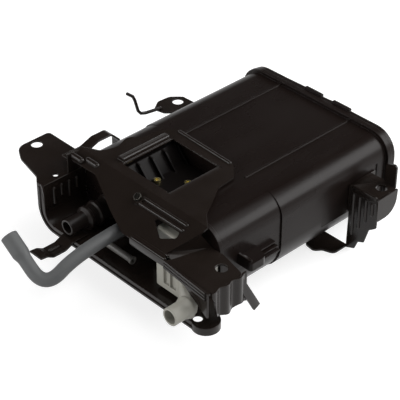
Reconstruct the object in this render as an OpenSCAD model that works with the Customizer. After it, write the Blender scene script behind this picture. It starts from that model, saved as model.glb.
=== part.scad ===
/* [Case] */
// Length of the case from its front wall to its rear flange
case_length = 217; // [190:1:245]
// Width of the case over its rear chambers
case_width = 187; // [170:1:205]
// Height of the case from its underside to its top
case_height = 89; // [80:1:100]
// Wall of the moulded case
case_wall = 2.5; // [2:0.1:3.2]
// Radius of the two upper long edges
top_radius = 21; // [14:1:28]
// Radius of the two lower long edges
base_radius = 38; // [28:1:42]
// Length of the port bay ahead of the charcoal chambers
bay_length = 77; // [70:1:84]
// How far the rear chambers stand out past the port bay
step_outset = 1.5; // [0.5:0.1:2.5]
// Distance of each long partition from the middle plane
partition_y = 45.5; // [38:0.5:52]
// Wall of the partitions and of the bulkhead
partition_wall = 2; // [1.6:0.1:2.4]
// Depth of the welding flange at the open end of the case
flange_depth = 5.5; // [4:0.5:8]
// How far the welding flange stands out past the case
flange_outset = 3.5; // [2.5:0.5:5]
// Width of the two witness ridges on the top
ridge_width = 2.2; // [1:0.1:4]
// Height of the two witness ridges on the top
ridge_height = 1; // [0.5:0.1:2]
// Length of the raised band round the front end
band_length = 4; // [3:0.5:8]
// How far the front band stands out past the port bay
band_outset = 1.4; // [0.8:0.1:1.6]

/* [Rear cover] */
// Depth of the cover's rim
cover_rim = 5.5; // [4:0.5:8]
// How far the middle panel of the cover bulges past its rim
cover_bulge = 5; // [4:0.5:9]
// Wall of the cover
cover_wall = 3; // [2:0.1:3.5]
// Distance from the rim's edge to the bulged panel
cover_margin = 13; // [10:1:20]

/* [Charcoal pack] */
// Thickness of each felt filter pad
filter_thickness = 6; // [3:0.5:8]
// Thickness of the pressure grids
grid_thickness = 3.5; // [2.5:0.5:5]
// Length of the charcoal beds
bed_length = 101; // [85:1:104]
// Clearance of the pack inside its chambers
pack_clearance = 0.3; // [0.2:0.05:0.5]
// Mean radius of the pressure springs
spring_radius = 13; // [9:0.5:15]
// Wire diameter of the pressure springs
spring_wire = 2; // [1.4:0.1:2.6]
// Turns of each pressure spring
spring_turns = 4; // [3:1:6]

/* [Steel brackets] */
// Thickness of the bracket sheet
sheet = 2; // [1.6:0.1:2.6]
// Height of the front mounting ears above the case's underside
front_ear_z = 72; // [66:0.5:76]
// Height of the rear mounting ears above the case's underside
rear_ear_z = 62; // [56:0.5:68]
// Diameter of the four mounting holes
mount_hole = 11; // [8.5:0.5:12]
// Diameter of the locating hole in the cradle's lobe
lobe_hole = 8.5; // [6:0.5:10]
// How far the front cradle reaches ahead of the case
cradle_reach = 50; // [44:1:56]
// Height of the cradle's floor above the case's underside
cradle_floor_z = 32; // [29:0.5:33]
// How high the top plate stands over the case
plate_rise = 2; // [1:0.5:4]
// Depth of the stamped stiffening beads
bead_radius = 1.8; // [1.2:0.1:2.4]

/* [Ports and hose] */
// Outside diameter of the vapour port
vapour_od = 15.5; // [14:0.5:17]
// Outside diameter of the vent pipe
vent_od = 17; // [15:0.5:18.5]
// Wall of the port pipes
pipe_wall = 2; // [1.5:0.1:2.5]
// Outside diameter of the purge hose
hose_od = 13; // [12:0.5:14]
// Inside diameter of the purge hose
hose_bore = 8; // [6:0.5:9]
// Outside diameter of the bell at the free end of the purge hose
bell_od = 16; // [15:0.5:18]
// Inside diameter of the bell
bell_bore = 11; // [9:0.5:12]

/* [Hidden] */

touch = 0.01;
arc_steps = 8;
fine = 48;

front_x = -case_length / 2;
bulkhead_x = front_x + bay_length;
flange_x = case_length / 2;
seam_x = flange_x + flange_depth;
half_width = case_width / 2;
bay_half_width = half_width - step_outset;

// Charcoal pack, from the bulkhead to the cover
front_filter_x = bulkhead_x + partition_wall;
bed_x = front_filter_x + filter_thickness;
rear_filter_x = bed_x + bed_length;
grid_x = rear_filter_x + filter_thickness;
spring_x = grid_x + grid_thickness;
partition_end_x = spring_x + 10;
cover_inside_x = seam_x + cover_rim + cover_bulge - cover_wall;
spring_length = cover_inside_x - spring_x;

// Valve pocket in the top of the port bay
pocket_x = [front_x + 6, bulkhead_x - 2];
pocket_y = [-21, 55];
pocket_floor_z = case_height - 22;
pocket_wall = 2.5;
bay_wall_y = pocket_y[0] - pocket_wall - 2;

// Ports on the front wall, as [y, z]
vapour_at = [53.4, 45];
purge_at = [-0.5, 63];
vent_at = [-56, 52];
drain_at = [16, 41];
hose_fit = 0.15;
purge_spigot_od = hose_bore - 2 * hose_fit;
purge_spigot_length = 30;
spigot_wall = 1.6;
drain_od = 6.5;
drain_wall = 1.2;

// Front cradle and top bracket
cradle_x = front_x - cradle_reach;
cradle_wall_y = 88.5;
cradle_rim_y = cradle_wall_y + 10;
cradle_rim_drop = 5.7;
cradle_corner_radius = 22;
rim_line = 1;
rim_line_width = 2;
rim_line_inset = 3.4;
rim_line_z = cradle_floor_z - sheet - cradle_rim_drop + 2;
wall_beads = 4;
wall_bead_pitch = 9;
lobe_at = [cradle_x + 11.5, -116];
lobe_radius = 13;
lobe_hole_at = [cradle_x + 7.5, -110];
ear_hole_at = [front_x - 10.5, 148];
plate_z = case_height + plate_rise;
plate_top_z = plate_z + sheet;
hinge_x = front_x - 3.5;
deck_front_x = cradle_x + 6;
shelf_y = -129;
deck_side_y = -81;
shelf_hole_at = [front_x - 15, -110.5];
arm_y = [44, 61];
arm_reach = 41;
cradle_bolt_y = [-8, 32];
cradle_bolt_z = cradle_floor_z + 8;
cradle_tab_width = 16;

// Rear brackets
rear_leg_x = flange_x - 50;
rear_bracket_length = 30;
rear_reach = 35.5;
rear_hole_at = [rear_leg_x + 18, -half_width - 24];
far_hole_at = [rear_leg_x - 16.5, half_width + 30.5];
wing_z = -10;
wing_y = half_width - 29.5;
foot_y = half_width + 1;
rear_bolt_x = [rear_leg_x + 10, rear_leg_x + 28];
rear_bolt_z = rear_ear_z - 12;

function unit(v) = v / norm(v);
function around(middle, width) = [middle - width / 2, middle + width / 2];
function turn(a) = a > 180 ? a - 360 : a < -180 ? a + 360 : a;

// Points of a fillet of radius r on corner b between its neighbours a and c
function fillet(a, b, c, r) =
    let (u = unit(a - b), v = unit(c - b), half = acos(u * v) / 2,
         centre = b + unit(u + v) * r / sin(half),
         from = b + u * r / tan(half) - centre,
         to = b + v * r / tan(half) - centre,
         start = atan2(from[1], from[0]),
         sweep = turn(atan2(to[1], to[0]) - start))
    [for (i = [0 : arc_steps]) let (t = start + sweep * i / arc_steps) centre + r * [cos(t), sin(t)]];

function flat(p) = [p[0], p[1]];

// A closed outline from corners given as [x, y, fillet radius]
function rounded(corners) =
    let (n = len(corners))
    [for (i = [0 : n - 1])
        let (before = flat(corners[(i + n - 1) % n]), after = flat(corners[(i + 1) % n]))
        each corners[i][2] > 0
            ? fillet(before, flat(corners[i]), after, corners[i][2])
            : [flat(corners[i])]];

// An open path from corners given as [x, y, bend radius]
function bent(corners) =
    let (n = len(corners))
    [for (i = [0 : n - 1])
        each i > 0 && i < n - 1 && corners[i][2] > 0
            ? fillet(flat(corners[i - 1]), flat(corners[i]), flat(corners[i + 1]), corners[i][2])
            : [flat(corners[i])]];

// The outline of a sheet of thickness t whose middle line is the path
function strip(path, t) =
    let (n = len(path),
         side = [for (i = [0 : n - 1])
            let (d = unit(path[min(i + 1, n - 1)] - path[max(i - 1, 0)])) [-d[1], d[0]] * t / 2])
    concat([for (i = [0 : n - 1]) path[i] + side[i]], [for (i = [n - 1 : -1 : 0]) path[i] - side[i]]);

// Extrudes an outline in Y and Z from x0 to x1
module along_x(x0, x1) {
    translate([x0, 0, 0]) rotate([90, 0, 90]) linear_extrude(x1 - x0) children();
}

// Extrudes an outline in X and Z from y0 to y1
module along_y(y0, y1) {
    translate([0, y1, 0]) rotate([90, 0, 0]) linear_extrude(y1 - y0) children();
}

// Extrudes an outline in X and Y from z0 to z1
module along_z(z0, z1) {
    translate([0, 0, z0]) linear_extrude(z1 - z0) children();
}

module block(x, y, z) {
    translate([x[0], y[0], z[0]]) cube([x[1] - x[0], y[1] - y[0], z[1] - z[0]]);
}

module round_x(x0, x1, y, z, r) {
    translate([x0, y, z]) rotate([0, 90, 0]) cylinder(h = x1 - x0, r = r, $fn = fine);
}

module round_y(y0, y1, x, z, r) {
    translate([x, y0, z]) rotate([-90, 0, 0]) cylinder(h = y1 - y0, r = r, $fn = fine);
}

module round_z(z0, z1, at, r) {
    translate([at[0], at[1], z0]) cylinder(h = z1 - z0, r = r, $fn = fine);
}

// A stamped bead along X with round ends
module bead_x(x0, x1, y, z, r) {
    round_x(x0, x1, y, z, r);
    for (x = [x0, x1]) translate([x, y, z]) sphere(r, $fn = fine);
}

// A stamped bead along Y with round ends
module bead_y(y0, y1, x, z, r) {
    round_y(y0, y1, x, z, r);
    for (y = [y0, y1]) translate([x, y, z]) sphere(r, $fn = fine);
}

// A stamped bead along Z with round ends
module bead_z(z0, z1, at, r) {
    round_z(z0, z1, at, r);
    for (z = [z0, z1]) translate([at[0], at[1], z]) sphere(r, $fn = fine);
}

// A stamped bead with round ends between two points
module bead_between(a, b, r) {
    d = b - a;
    translate(a) rotate([0, acos(d[2] / norm(d)), atan2(d[1], d[0])])
        cylinder(h = norm(d), r = r, $fn = fine);
    for (p = [a, b]) translate(p) sphere(r, $fn = fine);
}

// Cross section of the case, inset by a wall or outset by a flange
module case_section(half, inset) {
    w = half - inset;
    top = case_height - inset;
    polygon(rounded([
        [-w, inset, base_radius - inset], [w, inset, base_radius - inset],
        [w, top, top_radius - inset], [-w, top, top_radius - inset]
    ]));
}

// Cross section of one charcoal chamber between two planes of Y
module chamber_section(y0, y1, gap) {
    intersection() {
        case_section(half_width, case_wall + gap);
        translate([y0 + gap, 0]) square([y1 - y0 - 2 * gap, case_height]);
    }
}

// Y limits of the near, main and far charcoal chambers
chambers = [
    [-half_width, -partition_y - partition_wall / 2],
    [-partition_y + partition_wall / 2, partition_y - partition_wall / 2],
    [partition_y + partition_wall / 2, half_width]
];
near = 0;
main = 1;
far = 2;

// A slab of the charcoal pack that fills one chamber
module pack_slab(chamber, x0, x1) {
    along_x(x0, x1) chamber_section(chambers[chamber][0], chambers[chamber][1], pack_clearance);
}

// Rows of holes through the bulkhead or a grid, between two planes of Y
hole_pitch = 11;
bulkhead_hole = 6.4;
grid_hole = 6;
shoulder_margin = 12;
module perforations(y, x, diameter) {
    rows = floor((case_height - 2 * hole_pitch) / hole_pitch);
    columns = floor((y[1] - y[0] - hole_pitch) / hole_pitch);
    first_y = (y[0] + y[1] - columns * hole_pitch) / 2;
    first_z = (case_height - rows * hole_pitch) / 2;
    for (i = [0 : rows], j = [0 : columns])
        round_x(x[0] - 1, x[1] + 1, first_y + j * hole_pitch, first_z + i * hole_pitch, diameter / 2);
}

lug_x = [front_x + 22.5, front_x + 47.5];
lug_top_z = 54;
lug_reach = 17;
lug_thickness = 8;
lug_root = 6;
lug_bar = 4;
lug_bar_rise = 3;
lug_rails = 3;
lug_rail_length = 20;
lug_rail_pitch = 2.6;
lug_rail_height = 1.4;
bolt_shank = 5;
bracket_pocket_depth = 1;
bracket_pocket_x = rear_leg_x - 36;

// The nut lug on the near wall of the port bay
module side_lug() {
    wall_y = -bay_half_width;
    tip_y = wall_y - lug_reach;
    along_z(lug_top_z - lug_thickness, lug_top_z) polygon(rounded([
        [lug_x[0], wall_y + lug_root, 0], [lug_x[0], tip_y, 3],
        [lug_x[1] - lug_root, tip_y, 6], [lug_x[1], wall_y + lug_root, 0]
    ]));
    block([lug_x[0], lug_x[0] + lug_bar], [tip_y + 2, wall_y + lug_root],
          [lug_top_z - lug_bar, lug_top_z + lug_bar_rise]);
    for (i = [0 : lug_rails - 1]) {
        rail_z = lug_top_z - lug_bar - 2 - i * 3;
        block([lug_x[1] - lug_bar, lug_x[1] + lug_rail_length],
              [wall_y - lug_bar - i * lug_rail_pitch, wall_y + 3], [rail_z, rail_z + lug_rail_height]);
    }
}

// Screw post on the front wall that carries the deck, in the deck's own plane
post_at = [11.3, -3];
post_radius = 6;
post_height = 10;
post_web = 8;

module deck_post() {
    tip_x = hinge_x - post_at[0];
    difference() {
        union() {
            on_deck() translate([post_at[0], post_at[1], -sheet - post_height])
                cylinder(h = post_height, r = post_radius - 1, $fn = fine);
            along_y(post_at[1] - post_web / 2, post_at[1] + post_web / 2) polygon([
                [front_x + touch, case_height - 15], [tip_x, case_height - 12],
                [tip_x, case_height - 7], [front_x + touch, case_height - 1.5]
            ]);
        }
        on_deck() translate([post_at[0], post_at[1], -sheet - post_height + 1])
            cylinder(h = post_height, r = bolt_shank / 2, $fn = fine);
    }
}

// The outer skin of the case: port bay, chambers, flange, witness ridges, lug and front band
module case_skin() {
    along_x(front_x, bulkhead_x) case_section(bay_half_width, 0);
    along_x(bulkhead_x, flange_x) case_section(half_width, 0);
    along_x(flange_x, seam_x) case_section(half_width, -flange_outset);
    for (side = [-1, 1])
        block([bulkhead_x, flange_x + touch], around(side * partition_y, ridge_width),
              [case_height - 1, case_height + ridge_height]);
    side_lug();
    intersection() {
        along_x(front_x, front_x + band_length) case_section(bay_half_width, -band_outset);
        block([front_x - 1, bulkhead_x], [-case_width, case_width], [base_radius, case_height + case_wall]);
    }
}

// The hollows of the case: charcoal chambers, the space behind them and the port bay
module case_hollows() {
    for (c = chambers)
        along_x(bulkhead_x + partition_wall, seam_x + 1) chamber_section(c[0], c[1], 0);
    along_x(partition_end_x, seam_x + 1) case_section(half_width, case_wall);
    difference() {
        along_x(front_x + case_wall, bulkhead_x) case_section(bay_half_width, case_wall);
        block(pocket_x + [-pocket_wall, pocket_wall], pocket_y + [-pocket_wall, pocket_wall],
              [pocket_floor_z - pocket_wall, case_height]);
        block([front_x, bulkhead_x], [bay_wall_y, bay_wall_y + partition_wall], [0, case_height]);
    }
    block(pocket_x, pocket_y, [pocket_floor_z, case_height + 1]);
}

module case() {
    seat_z = [base_radius - 8, case_height - top_radius];
    color("#1d1a18") {
        difference() {
            case_skin();
            case_hollows();
            // Holes of the bulkhead
            for (y = [
                [chambers[near][0] + shoulder_margin, chambers[near][1]],
                [bay_wall_y + partition_wall, chambers[main][1]],
                [chambers[far][0], chambers[far][1] - shoulder_margin]
            ])
                perforations(y, [bulkhead_x, bulkhead_x + partition_wall], bulkhead_hole);
            // Ports of the front wall
            for (port = [
                [vapour_at, vapour_od / 2 - pipe_wall], [vent_at, vent_od / 2 - pipe_wall],
                [drain_at, drain_od / 2 - drain_wall], [purge_at, purge_spigot_od / 2 - spigot_wall]
            ])
                round_x(front_x - 1, front_x + case_wall + 1, port[0][0], port[0][1], port[1]);
            // Seats of the rear brackets
            for (y = [[half_width - bracket_pocket_depth, half_width + 1],
                      [-half_width - 1, -half_width + bracket_pocket_depth]])
                block([bracket_pocket_x, rear_leg_x + rear_bracket_length + 9], y, seat_z);
        }
        deck_post();
        // Purge spigot, hidden in the hose
        difference() {
            round_x(front_x - purge_spigot_length, front_x + touch, purge_at[0], purge_at[1],
                    purge_spigot_od / 2);
            round_x(front_x - purge_spigot_length - 1, front_x + 1, purge_at[0], purge_at[1],
                    purge_spigot_od / 2 - spigot_wall);
        }
    }
}

tab_width = 22;
tab_height = 2;
tab_depth = 3;
cover_tabs_y = [9, -27.5];

module rear_cover() {
    color("#1d1a18") difference() {
        union() {
            along_x(seam_x, seam_x + cover_rim) case_section(half_width, -flange_outset + 0.8);
            along_x(seam_x + cover_rim - touch, seam_x + cover_rim + cover_bulge)
                case_section(half_width, cover_margin - flange_outset);
            for (y = cover_tabs_y)
                block([seam_x + cover_rim - tab_depth, seam_x + cover_rim + 0.5], around(y, tab_width),
                      [case_height, case_height + flange_outset + tab_height]);
        }
        along_x(seam_x - 1, cover_inside_x)
            case_section(half_width, cover_margin - flange_outset + cover_wall);
        along_x(seam_x - 1, seam_x + cover_rim - cover_wall) case_section(half_width, case_wall);
    }
}

module charcoal_bed(chamber) {
    color("#2b2b2b") pack_slab(chamber, bed_x, rear_filter_x);
}
module main_charcoal_bed() { charcoal_bed(main); }
module near_charcoal_bed() { charcoal_bed(near); }
module far_charcoal_bed() { charcoal_bed(far); }

module filter_pad(chamber, x0) {
    color("#d8d4c6") pack_slab(chamber, x0, x0 + filter_thickness);
}
module main_front_filter() { filter_pad(main, front_filter_x); }
module near_front_filter() { filter_pad(near, front_filter_x); }
module far_front_filter() { filter_pad(far, front_filter_x); }
module main_rear_filter() { filter_pad(main, rear_filter_x); }
module near_rear_filter() { filter_pad(near, rear_filter_x); }
module far_rear_filter() { filter_pad(far, rear_filter_x); }

module pressure_grid(chamber) {
    margins = [chamber == near ? shoulder_margin : 0, chamber == far ? -shoulder_margin : 0];
    color("#3a3836") difference() {
        pack_slab(chamber, grid_x, spring_x);
        perforations(chambers[chamber] + margins, [grid_x, spring_x], grid_hole);
    }
}
module main_pressure_grid() { pressure_grid(main); }
module near_pressure_grid() { pressure_grid(near); }
module far_pressure_grid() { pressure_grid(far); }

// A coil of round wire along X, closed at both ends of the wire
module coil(y, z) {
    sides = 6;
    rings = spring_turns * 12;
    r = spring_wire / 2;
    rise = spring_length - spring_wire;
    points = [for (i = [0 : rings], k = [0 : sides - 1])
        let (a = 360 * spring_turns * i / rings, b = 360 * k / sides, out = spring_radius + r * cos(b))
        [spring_x + r + rise * i / rings + r * sin(b), y + out * cos(a), z + out * sin(a)]];
    skin = [for (i = [0 : rings - 1], k = [0 : sides - 1])
        let (a = i * sides + k, b = i * sides + (k + 1) % sides) [b, b + sides, a + sides, a]];
    ends = [[for (k = [sides - 1 : -1 : 0]) k], [for (k = [0 : sides - 1]) rings * sides + k]];
    polyhedron(points, concat(skin, ends), convexity = 10);
}

spring_z = case_height / 2;
side_spring_y = (partition_y + half_width) / 2 - 4;
module main_springs() {
    color("#b9b9b4") for (side = [-1, 1]) coil(side * partition_y / 2, spring_z);
}
module near_spring() { color("#b9b9b4") coil(-side_spring_y, spring_z); }
module far_spring() { color("#b9b9b4") coil(side_spring_y, spring_z); }

tray_gap = 0.4;
tray_floor = 3;
tray_wall_foot_y = 30;
tray_wall_top = [43.5, pocket_floor_z + 19];
tray_rib_pitch = 16;
tray_rib_x = bulkhead_x - 4.7;
tray_rib_depth = 6.5;
tray_rib_width = 2.2;
valve_screw_at = [[front_x + 33, 24.5], [front_x + 50.7, 2]];

// The ribbed valve cover that lies in the pocket under the top plate's window
module valve_tray() {
    x0 = pocket_x[0] + tray_gap;
    x1 = pocket_x[1] - tray_gap;
    floor_z = pocket_floor_z + tray_floor;
    color("#1b1918") difference() {
        union() {
            along_x(x0, x1) polygon([
                [pocket_y[0] + tray_gap, pocket_floor_z], [pocket_y[1] - tray_gap, pocket_floor_z],
                [pocket_y[1] - tray_gap, tray_wall_top[1]], tray_wall_top,
                [tray_wall_foot_y, floor_z], [pocket_y[0] + 9, floor_z],
                [pocket_y[0] + tray_gap, floor_z + 11]
            ]);
            for (i = [0 : 3])
                along_x(tray_rib_x - i * tray_rib_pitch - tray_rib_width / 2,
                        tray_rib_x - i * tray_rib_pitch + tray_rib_width / 2)
                    polygon([
                        tray_wall_top, [tray_wall_top[0] - tray_rib_depth + 1, tray_wall_top[1]],
                        [tray_wall_foot_y - tray_rib_depth, floor_z], [tray_wall_foot_y, floor_z]
                    ]);
        }
        for (p = valve_screw_at) round_z(pocket_floor_z + 1, case_height, p, 1.6);
    }
}

module valve_screws() {
    color("#c9a94a") for (p = valve_screw_at) {
        round_z(pocket_floor_z + 1, pocket_floor_z + tray_floor + touch, p, 1.6);
        difference() {
            round_z(pocket_floor_z + tray_floor, pocket_floor_z + tray_floor + 2.6, p, 3.4);
            for (a = [0, 90]) translate([p[0], p[1], pocket_floor_z + tray_floor + 2.6]) rotate(a)
                cube([4, 0.9, 2], center = true);
        }
    }
}

seal_depth = 2;
vapour_flange_r = vapour_od / 2 + 4.5;
vapour_collar_r = vapour_od / 2 + 2.5;
vapour_length = 50.5;

// Vapour port: base flange, body, two collars and the spigot, turned about X
module vapour_port() {
    r = vapour_od / 2;
    base_x = front_x - seal_depth;
    color("#1a1817") translate([base_x, vapour_at[0], vapour_at[1]]) rotate([0, -90, 0])
        rotate_extrude($fn = fine) polygon([
            [r - pipe_wall, 0], [vapour_flange_r, 0], [vapour_flange_r, 3], [vapour_collar_r, 5],
            [vapour_collar_r, 14], [vapour_flange_r, 15], [vapour_flange_r, 18], [vapour_collar_r, 19],
            [vapour_collar_r, 25], [vapour_flange_r - 0.8, 26], [vapour_flange_r - 0.8, 29], [r, 30.5],
            [r, vapour_length], [r - pipe_wall, vapour_length]
        ]);
}

module face_seal(at, inner, outer) {
    color("#141414") difference() {
        round_x(front_x - seal_depth, front_x, at[0], at[1], outer);
        round_x(front_x - seal_depth - 1, front_x + 1, at[0], at[1], inner);
    }
}
module vapour_port_seal() { face_seal(vapour_at, vapour_od / 2 - pipe_wall, vapour_flange_r - 1); }
module vent_elbow_seal() { face_seal(vent_at, vent_od / 2 - pipe_wall, vent_od / 2 + 3); }

vent_pipe_at = [-106, 47];
vent_mouth_x = front_x - 71.5;
vent_base_x = vent_mouth_x + 20.5;
vent_ring_r = vent_od / 2 + 2;
elbow_front_x = front_x - 40;
elbow_y = [-93, -24];
elbow_z = [37, 67];
elbow_step_x = front_x - 20;
elbow_dome_y = [-61, -34];
elbow_dome_rise = 11;
panel_depth = 2.5;
panel_y = [elbow_y[0] + 14, elbow_y[1] - 40];
panel_z = elbow_z + [5, -3];
panel_rib = 1.6;
panel_rib_y = (panel_y[0] + panel_y[1]) / 2;

// Vent elbow: a box seated on the front wall that leads sideways to the vent pipe
module vent_elbow() {
    r = vent_od / 2;
    seat_x = front_x - seal_depth;
    color("#aeaca5") difference() {
        union() {
            along_z(elbow_z[0], elbow_z[1]) polygon(rounded([
                [seat_x, elbow_y[0], 0], [seat_x, elbow_y[1], 6], [elbow_step_x, elbow_y[1], 6],
                [elbow_step_x, elbow_y[1] - 28, 3], [elbow_front_x, elbow_y[1] - 28, 5],
                [elbow_front_x, elbow_y[0], 8]
            ]));
            along_z(elbow_z[0], elbow_z[1] + elbow_dome_rise) polygon(rounded([
                [seat_x - 2, elbow_dome_y[0], 3], [seat_x - 2, elbow_dome_y[1], 3],
                [elbow_step_x - 2, elbow_dome_y[1], 5], [elbow_step_x - 2, elbow_dome_y[0], 5]
            ]));
            hull() {
                block([elbow_step_x - 12, elbow_step_x - 2], [elbow_y[0], elbow_y[0] + 20],
                      elbow_z + [2, -4]);
                round_x(vent_base_x - touch, vent_base_x + 3, vent_pipe_at[0], vent_pipe_at[1], r + 0.5);
            }
            round_x(vent_mouth_x, vent_base_x + 3, vent_pipe_at[0], vent_pipe_at[1], r);
            translate([vent_base_x, vent_pipe_at[0], vent_pipe_at[1]]) rotate([0, -90, 0])
                rotate_extrude($fn = fine) polygon([
                    [r - 1, 0], [vent_ring_r, 0], [vent_ring_r, 2], [r + 1, 4.5], [r, 7], [r - 1, 7]
                ]);
        }
        // Bore of the pipe, the duct across and the seat of the front wall
        round_x(vent_mouth_x - 1, elbow_step_x - 8, vent_pipe_at[0], vent_pipe_at[1], r - pipe_wall);
        block([elbow_step_x - 14, elbow_step_x + 4], [vent_pipe_at[0], vent_at[0] + 8], elbow_z + [6, -8]);
        round_x(elbow_step_x - 2, seat_x + 1, vent_at[0], vent_at[1], r - pipe_wall - 1);
        // Shallow panel moulded into the front face
        block([elbow_front_x - 1, elbow_front_x + panel_depth], panel_y, panel_z);
    }
    color("#aeaca5")
        block([elbow_front_x, elbow_front_x + panel_depth + touch], around(panel_rib_y, panel_rib), panel_z);
}

drain_x = front_x - 37.5;
drain_end_y = -21;

// Drain nipple: leaves the front wall, turns to the near side and ends in a beaded mouth
module drain_nipple() {
    r = drain_od / 2;
    color("#8d8b86") difference() {
        union() {
            round_x(drain_x, front_x, drain_at[0], drain_at[1], r);
            translate([drain_x, drain_at[0], drain_at[1]]) sphere(r, $fn = fine);
            round_y(drain_end_y, drain_at[0], drain_x, drain_at[1], r);
            round_y(drain_end_y, drain_end_y + 2.5, drain_x, drain_at[1], r + 0.6);
        }
        round_x(drain_x, front_x + 1, drain_at[0], drain_at[1], r - drain_wall);
        round_y(drain_end_y - 1, drain_at[0], drain_x, drain_at[1], r - drain_wall);
    }
}

// Points that the purge hose is led by, from the spigot to its free end
hose_start_x = front_x - 2;
hose_level_x = front_x - 41.5;
hose_droop = [front_x - 86.5, -2, purge_at[1]];
hose_bend = [front_x - 118.5, 3.2, 39.4];
hose_tip = [front_x - 117.5, 52.4, 70.2];
hose_bend_reach = 21;
bell_length = 26;
bell_taper = 7;
hose_rings = 8;
hose_sides = 24;
bell_lap = 1;
bell_skin = 0.1;
bell_rim = 0.8;

function blend(a, b, t) = a * (1 - t) + b * t;

// Points of a quadratic curve from a to c that leaves and arrives towards b
function curve(a, b, c, n) =
    [for (i = [0 : n]) let (t = i / n) blend(blend(a, b, t), blend(b, c, t), t)];

// Middle line of the hose: a level run, a droop, the bend and the straight up to the bell
hose_along = unit(hose_tip - hose_bend);
bell_root = hose_tip - hose_along * bell_length;
function hose_path() =
    let (a = [hose_start_x, purge_at[0], purge_at[1]],
         level = [hose_level_x, purge_at[0], purge_at[1]],
         p = hose_bend + unit(hose_droop - hose_bend) * hose_bend_reach,
         q = hose_bend + hose_along * hose_bend_reach,
         corner = curve(p, hose_bend, q, hose_rings))
    concat([a], curve(level, hose_droop, p, hose_rings), [for (i = [1 : hose_rings]) corner[i]], [bell_root]);

// Sweeps a ring along the hose's path, with its first side axis level
module swept(path, radius, sides) {
    n = len(path);
    rings = [for (i = [0 : n - 1])
        let (d = unit(path[min(i + 1, n - 1)] - path[max(i - 1, 0)]),
             s = unit(cross([0, 0, 1], d)), u = cross(d, s))
        for (k = [0 : sides - 1])
            let (t = 360 * k / sides) path[i] + radius * (cos(t) * s + sin(t) * u)];
    skin = [for (i = [0 : n - 2], k = [0 : sides - 1])
        let (a = i * sides + k, b = i * sides + (k + 1) % sides) [a, a + sides, b + sides, b]];
    ends = [[for (k = [0 : sides - 1]) k], [for (k = [sides - 1 : -1 : 0]) (n - 1) * sides + k]];
    polyhedron(rings, concat(skin, ends), convexity = 10);
}

// The bell: a taper and a straight socket, turned about the hose's end
module hose_bell() {
    turned_r = hose_od / 2 + bell_skin;
    bore_r = hose_bore / 2 + bell_skin;
    translate(bell_root) rotate([0, acos(hose_along[2]), atan2(hose_along[1], hose_along[0])])
        rotate_extrude($fn = fine) polygon([
            [bore_r, -bell_lap], [turned_r, -bell_lap], [turned_r, 0], [bell_od / 2, bell_taper],
            [bell_od / 2, bell_length - bell_rim], [bell_od / 2 - bell_rim, bell_length],
            [bell_bore / 2 + bell_rim, bell_length], [bell_bore / 2, bell_length - bell_rim],
            [bell_bore / 2, bell_taper], [bore_r, 0]
        ]);
}

module purge_hose() {
    path = hose_path();
    n = len(path);
    from = path[0] + unit(path[0] - path[1]);
    to = path[n - 1] + hose_along;
    inner = concat([from], [for (i = [1 : n - 2]) path[i]], [to]);
    color("#646464") {
        difference() {
            swept(path, hose_od / 2, hose_sides);
            swept(inner, hose_bore / 2, hose_sides);
        }
        hose_bell();
    }
}

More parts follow.
